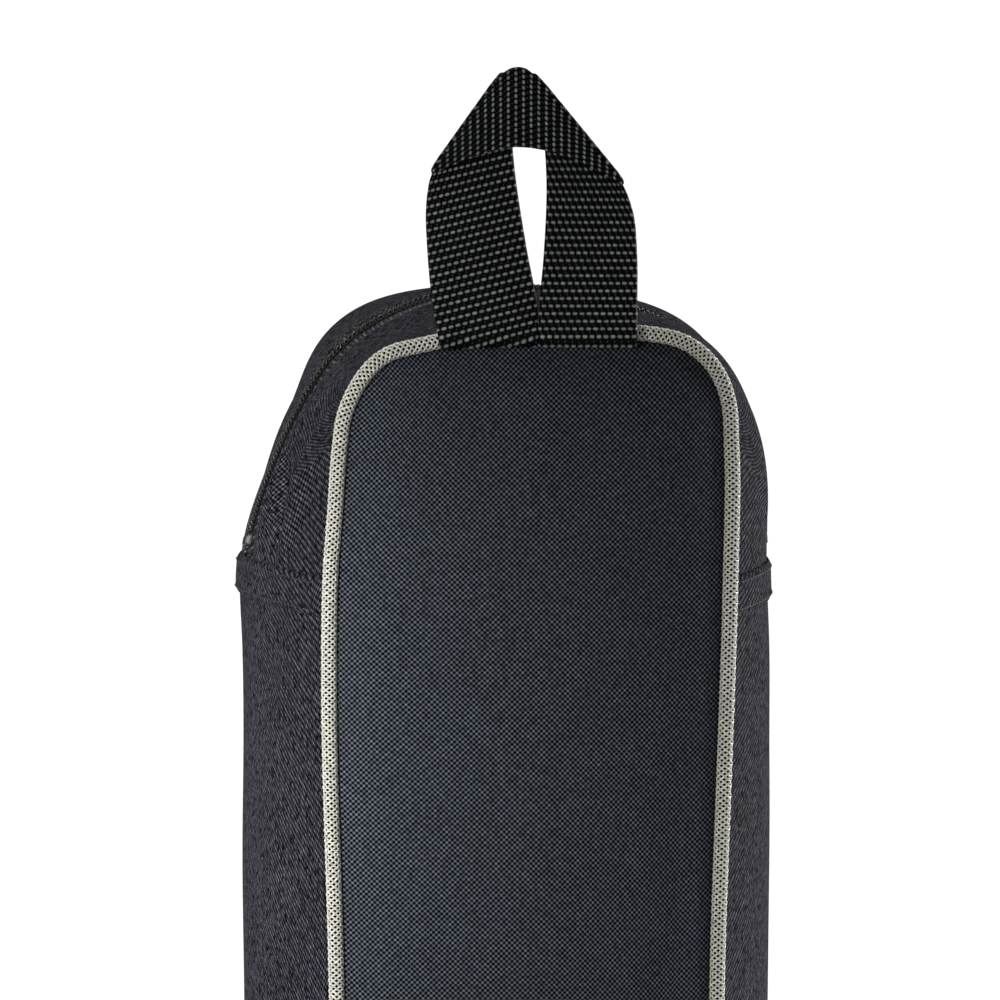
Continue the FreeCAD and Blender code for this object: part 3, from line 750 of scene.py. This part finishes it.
TOOTH = 1.52
RIB_WIDTH = 1.2
TAPE_OUT, TAPE_IN = 0.8, 1.5
TAPE_PAST = 0.09             # how far the tapes run past the arch's ends, in radians
COIL_START, COIL_END = math.radians(3.0), math.radians(177.0)
COIL_HALF_WIDTH, COIL_HALF_HEIGHT, COIL_WIRE, COIL_STEPS = 1.25, 0.65, 0.29, 14


def zip_wall(theta, y, inset):
    """Points on the arch at an angle from +X and a depth."""
    return soften(section(ARCH_RADIUS * (PI / 2 - theta), y, inset))


def zip_chain():
    theta = np.linspace(-TAPE_PAST, PI + TAPE_PAST, int(ARCH_RADIUS * PI / 0.4))[:, None]
    for name, side, body in ENDS:
        across = np.linspace(0.6, ZIP_HALF + 0.4, 40)[None]
        length = ARCH_RADIUS * theta + 0 * across
        staggered = across / RIB_WIDTH + 0.5 * np.floor(length / TOOTH)
        ribs = 2 * np.abs(np.sin(PI * length / TOOTH) * np.sin(PI * staggered)) * np.clip(across - 2.6, 0, 1)
        y = ZIP_Y + side * across + 0 * theta
        outer, inner = zip_wall(theta, y, TAPE_OUT - 0.12 * ribs), zip_wall(theta, y, TAPE_IN)
        obj = cloth(f"{name}_zip_tape", outer, inner, np.stack([length, across + 0 * theta], axis=-1))
        nodes = [f"{name}_zip_tape"] + (["front_zip_tape_ends"] if side < 0 else [])
        place(obj, zip_tape_look, "zip_tape", body, nodes)

        # a coil of monofilament: out to the other side, over, and back under, half a tooth apart at the rear
        teeth = int(ARCH_RADIUS * (COIL_END - COIL_START) / TOOTH)
        turn = np.arange(teeth * COIL_STEPS) / COIL_STEPS + (0.5 if side > 0 else 0)
        angle = COIL_START + turn * TOOTH / ARCH_RADIUS
        reach = COIL_HALF_WIDTH * np.cos(2 * PI * turn)
        lift = COIL_HALF_HEIGHT * np.sin(2 * PI * turn)
        line = zip_wall(angle, ZIP_Y + side * (1.05 - reach), -0.15 - lift)
        obj = tube(f"{name}_zip_coil", line, COIL_WIRE, 7, closed=False)
        place(obj, coil_look, "zip_coil", body, [f"{name}_zip_coil"])


STITCH_PITCH, STITCH_LENGTH, THREAD_RADIUS = 2.9, 2.1, 0.24
STITCH_RINGS, STITCH_SIDES = 7, 6


def stitch_row(name, line, outward):
    """Single stitches of thread, half sunk in the cloth along a line."""
    run = run_along(line)
    grid = np.linspace(-0.5, 0.5, STITCH_RINGS)
    plump = np.sqrt(np.maximum(1 - (2 * grid) ** 2, 0.06))[:, None, None]
    points, quads, caps = [], [], []
    for number, centre in enumerate(np.arange(STITCH_PITCH, run[-1] - STITCH_PITCH, STITCH_PITCH)):
        spots = centre + grid * STITCH_LENGTH
        middle, up = read_along(run, line, spots), read_along(run, outward, spots)
        across = unit(np.cross(np.gradient(middle, axis=0), up))
        ring = middle[:, None] + plump * rings(across, up, circle(STITCH_SIDES), THREAD_RADIUS, THREAD_RADIUS)
        sides, ends = tube_faces(STITCH_RINGS, STITCH_SIDES, False, number * STITCH_RINGS * STITCH_SIDES)
        points.append(ring.reshape(-1, 3))
        quads.append(sides)
        caps += ends
    return tidy(build(name, np.concatenate(points), np.concatenate(quads), caps=caps), 0.001)


def outward_of(points):
    """Which way is out from the bag's walls, near points on them."""
    rise = np.maximum(points[:, 2] - ARCH_Z, 0)
    return unit(np.stack([points[:, 0], 0 * rise, rise], axis=1))


def stitching():
    theta = np.linspace(0.03, PI - 0.03, 500)
    for name, y, body in (("front", FRONT_EDGE - 2.0, "mouth"), ("rear", REAR_EDGE + 2.0, "bag")):
        line = zip_wall(theta, y, -0.02)
        place(stitch_row(f"{name}_zip_stitching", line, outward_of(line)), thread_look, "panel_fabric", body)
    ys = np.linspace(-SEAM_Y + 3, SEAM_Y - 3, 300)
    for side, sign in (("left", -1), ("right", 1)):
        for row, height in (("low", HEM_LOW + 1.6), ("high", HEM_TOP - 1.8)):
            line = soften(section(sign * hem(height)(ys), ys, -1.25))
            place(stitch_row(f"{side}_hem_stitching_{row}", line, outward_of(line)), thread_look, "band_tape",
                  "mouth")


# ---- carry loop ----

WEBBING = 25.0
WEB_THICK = 1.5
PICK, RIB = 2.05, 1.77
RELIEF = 0.34
LOOP_LEAN = math.radians(14)
ACROSS_STEPS, LEG_STEPS, TOP_STEPS, FOLD_STEPS = 74, 190, 150, 6
# the columns of points at the middle of the left and the right fold
LEFT_FOLD = LEG_STEPS + FOLD_STEPS // 2
RIGHT_FOLD = LEFT_FOLD + FOLD_STEPS + TOP_STEPS


def smooth_path(knots, share):
    """A smooth curve through a few points, read at shares of its length from 0 to 1."""
    knots = np.asarray(knots, float)
    run = run_along(knots)
    slopes = np.gradient(knots, run, axis=0)
    wanted = np.asarray(share) * run[-1]
    cell = np.clip(np.searchsorted(run, wanted, side="right") - 1, 0, len(knots) - 2)
    width = (run[cell + 1] - run[cell])[..., None]
    t = (wanted - run[cell])[..., None] / width
    return ((2 * t ** 3 - 3 * t ** 2 + 1) * knots[cell] + (t ** 3 - 2 * t ** 2 + t) * width * slopes[cell]
            + (3 * t ** 2 - 2 * t ** 3) * knots[cell + 1] + (t ** 3 - t ** 2) * width * slopes[cell + 1])


# (x, z) along the two edges of each leg, from the seam up to its diagonal fold, and of the folded top
FOOT_Z = LOOP_Z - 8.0
LEFT_OUTER = [(-25.6, FOOT_Z), (-27.4, 345), (-28.9, 360), (-29.2, 373), (-28.2, 380.6)]
LEFT_INNER = [(1.3, FOOT_Z), (0.8, 345), (-2.2, 362), (-5.0, 380), (-6.6, 396), (-8.4, 408.2)]
RIGHT_OUTER = [(28.0, FOOT_Z), (28.0, 345), (27.9, 360), (27.0, 370), (24.6, 377.6)]
RIGHT_INNER = [(0.9, FOOT_Z), (1.4, 346), (2.6, 360), (3.2, 382), (1.9, 396), (-0.6, 408.0)]
TOP_LOWER = [(-28.2, 380.6), (-18, 384.9), (-6, 388.1), (4, 387.0), (14, 383.2), (24.6, 377.6)]
TOP_UPPER = [(-8.4, 408.2), (-6.6, 409.3), (-4.6, 409.7), (-2.5, 409.3), (-0.6, 408.0)]
ROLL = 0.95                  # half the gap between the layers at a fold


def ruled(low, high, across, share):
    """A sheet between two edge curves: across runs from low's edge at 0 to high's at 1."""
    first, second = smooth_path(low, share), smooth_path(high, share)
    return first[None] * (1 - across)[:, None, None] + second[None] * across[:, None, None]


def carry_loop():
    """One strip of webbing: up the left leg, folded on the diagonal, across the top and down the right leg."""
    across = np.linspace(0, 1, ACROSS_STEPS)
    legs = np.linspace(0, 1, LEG_STEPS)
    left = ruled(LEFT_OUTER, LEFT_INNER, across, legs)
    right = ruled(RIGHT_OUTER, RIGHT_INNER, across, legs)[:, ::-1]
    top = ruled(TOP_LOWER, TOP_UPPER, across, np.linspace(0, 1, TOP_STEPS))
    strips, weaves = [], []

    def add(sheet, depth, length):
        """Adds a stretch of the strip; length runs along it and counts its picks."""
        depth = np.broadcast_to(depth, sheet.shape[:2])
        strips.append(np.stack([sheet[..., 0], depth, sheet[..., 1]], axis=-1))
        weaves.append(np.stack(np.broadcast_arrays(length, (across * WEBBING)[:, None]), axis=-1))

    def foot_depth(leg):
        """Where a leg lies in depth: it leans in at its foot, where it is sewn down."""
        return LOOP_Y + 3.0 * np.clip((LOOP_Z - 5.5 - leg[..., 1]) / 2.5, 0, 1) ** 2

    def roll(edge, outward, way, length):
        """The half turn round a fold, which bulges past the fold's line. way says which layer is in front."""
        turn = np.linspace(0, PI, FOLD_STEPS + 2)[1:-1]
        round_off = np.sqrt(np.clip(np.minimum(across, 1 - across) / 0.14, 0, 1))
        bulge = 0.45 * ROLL * np.sin(turn) * round_off[:, None]
        sheet = edge[:, None] + np.array(outward) * bulge[..., None]
        add(sheet, LOOP_Y - ROLL * (1 + way * np.cos(turn)), length + turn[None] * ROLL)

    add(left, foot_depth(left), left[..., 1] * math.cos(LOOP_LEAN) - left[..., 0] * math.sin(LOOP_LEAN))
    roll(left[:, -1], (-0.82, 0.57), -1, left[:, -1:, 1])
    hang = 0.25 * np.sin(np.linspace(0, PI, TOP_STEPS))[None]
    add(top, LOOP_Y - 2 * ROLL - hang, top[..., 0])
    roll(top[:, -1], (0.74, 0.67), 1, right[:, :1, 1])
    add(right, foot_depth(right), right[..., 1])

    middle = np.concatenate(strips, axis=1)
    length, width = np.moveaxis(np.concatenate(weaves, axis=1), -1, 0)
    columns = np.arange(middle.shape[1])
    calm = np.ones(columns.size)
    for fold, inward in ((LEFT_FOLD, (0.75, 0.66)), (RIGHT_FOLD, (-0.68, 0.73))):
        near = np.exp(-((columns - fold) / 7) ** 2) * (1 - np.clip(across * WEBBING / 3.0, 0, 1)[:, None]) ** 2
        middle[..., 0] += 1.1 * inward[0] * near
        middle[..., 2] += 1.1 * inward[1] * near
        calm = np.minimum(calm, 0.25 + 0.75 * np.clip((np.abs(columns - fold) - 3) / 6, 0, 1))
    normal = unit(np.cross(np.gradient(middle, axis=1), np.gradient(middle, axis=0)))

    # the picks stand up in rows, each row half a rib on from the last, with fainter picks between the rows
    row = np.floor(length / PICK)
    bead = np.abs(np.sin(PI * length / PICK)) ** 2 * np.abs(np.sin(PI * (width / RIB + 0.5 * row))) ** 0.45
    row = np.floor(length / PICK + 0.5)
    under = np.abs(np.cos(PI * length / PICK)) ** 4 * np.abs(np.sin(PI * (width / RIB + 0.5 * row + 0.25))) ** 3
    bead = np.maximum(bead, 0.72 * under)
    edge = np.minimum(width, WEBBING - width)
    relief = RELIEF * bead * np.clip(edge / 0.8, 0, 1) * calm
    half = (WEB_THICK / 2) * np.sqrt(np.clip(1 - (1 - np.clip(edge / 0.9, 0, 1)) ** 2, 0.1, 1))
    offset = normal * (half + relief - RELIEF / 2)[..., None]
    # the third number of the weave, the picks' height, also paints their highlights and the shade between them
    # in the webbing's material
    obj = cloth("carry_loop", middle + offset, middle - offset, np.stack([length, width, bead], axis=-1))
    place(obj, webbing_look, "webbing", "loop_bend", ["carry_loop", "carry_loop_feet", "carry_loop_bend"])


# ---- slider, puller, end stops and board ----

def rounded(node, look, slot, body, offset=0.3):
    """A copy of a node's shape with its sharp edges rounded over."""
    source = frame["nodes"][node]
    work = bmesh.new()
    work.from_mesh(source.data)
    bmesh.ops.transform(work, matrix=source.matrix_world, verts=work.verts)
    bmesh.ops.remove_doubles(work, verts=work.verts, dist=1e-6)
    bmesh.ops.dissolve_limit(work, angle_limit=0.03, verts=work.verts, edges=work.edges)
    sharp = [edge for edge in work.edges if edge.is_manifold and edge.calc_face_angle() > 0.6]
    bmesh.ops.bevel(work, geom=sharp, offset=offset * MM, segments=3, profile=0.5, affect="EDGES",
                    clamp_overlap=True)
    bmesh.ops.triangulate(work, faces=work.faces)
    mesh = bpy.data.meshes.new(node)
    work.to_mesh(mesh)
    work.free()
    mesh.shade_smooth()
    mesh.set_sharp_from_angle(angle=math.radians(50))
    obj = bpy.data.objects.new(node, mesh)
    bpy.context.scene.collection.objects.link(obj)
    place(obj, look, slot, body, [node])


def end_stops():
    """The moulded blocks that close off both ends of the coils."""
    steps = 15
    u, v = np.linspace(-1, 1, steps)[:, None], np.linspace(-1, 1, steps)[None]
    dome = (1 - u ** 6) ** 0.5 * (1 - v ** 6) ** 0.5
    points, quads = [], []
    for number, middle in enumerate((COIL_START - 0.02, COIL_END + 0.02)):
        theta = middle + u * 1.6 / ARCH_RADIUS + 0 * v
        y = ZIP_Y + 2.6 * v + 0 * u
        points += [zip_wall(theta, y, 0.4 - 1.9 * dome).reshape(-1, 3), zip_wall(theta, y, 0.9).reshape(-1, 3)]
        quads.append(shell_quads(steps, steps) + number * 2 * steps ** 2)
    obj = tidy(build("zip_end_stops", np.concatenate(points), np.concatenate(quads)), 0.001)
    place(obj, metal_look, "zip_metal", "bag", ["zip_end_stops"])


def hardware():
    rounded("zip_slider", metal_look, "zip_metal", "slider")
    rounded("zip_puller", metal_look, "zip_metal", "puller")
    rounded("base_board", board_look, "base_board_plastic", "bag", offset=0.6)


# ---- camera, light and floor ----

def view():
    """The camera, which looks at the front panel from a little to its left and a little above."""
    target, distance = Vector((0, -HALF_DEPTH, 260)), 1500
    turn, tilt = math.radians(-4), math.radians(3.5)
    back = Vector((math.sin(turn) * math.cos(tilt), -math.cos(turn) * math.cos(tilt), math.sin(tilt)))
    data = bpy.data.cameras.new("camera")
    data.lens, data.sensor_width = 198.5, 36
    data.shift_x, data.shift_y = -0.033, 0.1205
    data.clip_end = 50
    camera = bpy.data.objects.new("camera", data)
    camera.location = (target + back * distance) * MM
    camera.rotation_euler = back.to_track_quat("Z", "Y").to_euler()
    bpy.context.scene.collection.objects.link(camera)
    bpy.context.scene.camera = camera


def lamp(name, spot, size, energy, aim=(0, 0, 0.22), spread=180):
    """A round area lamp, in metres, watts and degrees."""
    data = bpy.data.lights.new(name, "AREA")
    data.shape, data.size, data.energy, data.spread = "DISK", size, energy, math.radians(spread)
    obj = bpy.data.objects.new(name, data)
    obj.location = spot
    obj.rotation_euler = (Vector(spot) - Vector(aim)).to_track_quat("Z", "Y").to_euler()
    bpy.context.scene.collection.objects.link(obj)


LIT_BY_SKY, SKY_SEEN = 0.07, 1.05
FLOOR_RADIUS, FLOOR_SIDES = 900, 96


def studio():
    """A pale backdrop that gives little light of its own, soft lamps and a pale floor."""
    world = bpy.data.worlds.new("studio")
    world.use_nodes = True
    tree = world.node_tree
    background = tree.nodes["Background"]
    background.inputs["Color"].default_value = (1, 1, 1, 1)
    path = tree.nodes.new("ShaderNodeLightPath")
    strength = tree.nodes.new("ShaderNodeMapRange")
    strength.inputs[3].default_value, strength.inputs[4].default_value = LIT_BY_SKY, SKY_SEEN
    tree.links.new(path.outputs["Is Camera Ray"], strength.inputs[0])
    tree.links.new(strength.outputs[0], background.inputs["Strength"])
    bpy.context.scene.world = world
    lamp("key", (-1.0, -1.5, 1.5), 0.5, 7.5)
    lamp("side", (-0.75, -0.85, 0.4), 0.14, 0.38, aim=(-0.2, -0.1, 0.235), spread=23)
    lamp("fill", (1.5, 0.5, 0.45), 0.6, 28)
    lamp("top", (-0.3, 0.5, 1.6), 0.8, 10)
    bpy.context.scene.view_settings.view_transform = "Standard"
    turn = circle(FLOOR_SIDES)
    rim = np.stack([FLOOR_RADIUS * np.cos(turn), FLOOR_RADIUS * np.sin(turn), 0 * turn - 0.05], axis=1)
    floor = build("floor", rim, np.zeros((0, 4)), caps=[range(FLOOR_SIDES)])
    look = grained("floor_look", (0.8, 0.8, 0.8), 0.9, 0.1, scale=60, bump=0.02, spread=0.01)
    shader = look.node_tree.nodes["Principled BSDF"]
    shader.inputs["Emission Color"].default_value = (1, 1, 1, 1)
    shader.inputs["Emission Strength"].default_value = 0.35
    floor.data.materials.append(look)


view()
studio()
side_walls()
gussets()
body_lining()
bindings()
end_panels()
piping()
zip_chain()
stitching()
carry_loop()
end_stops()
hardware()
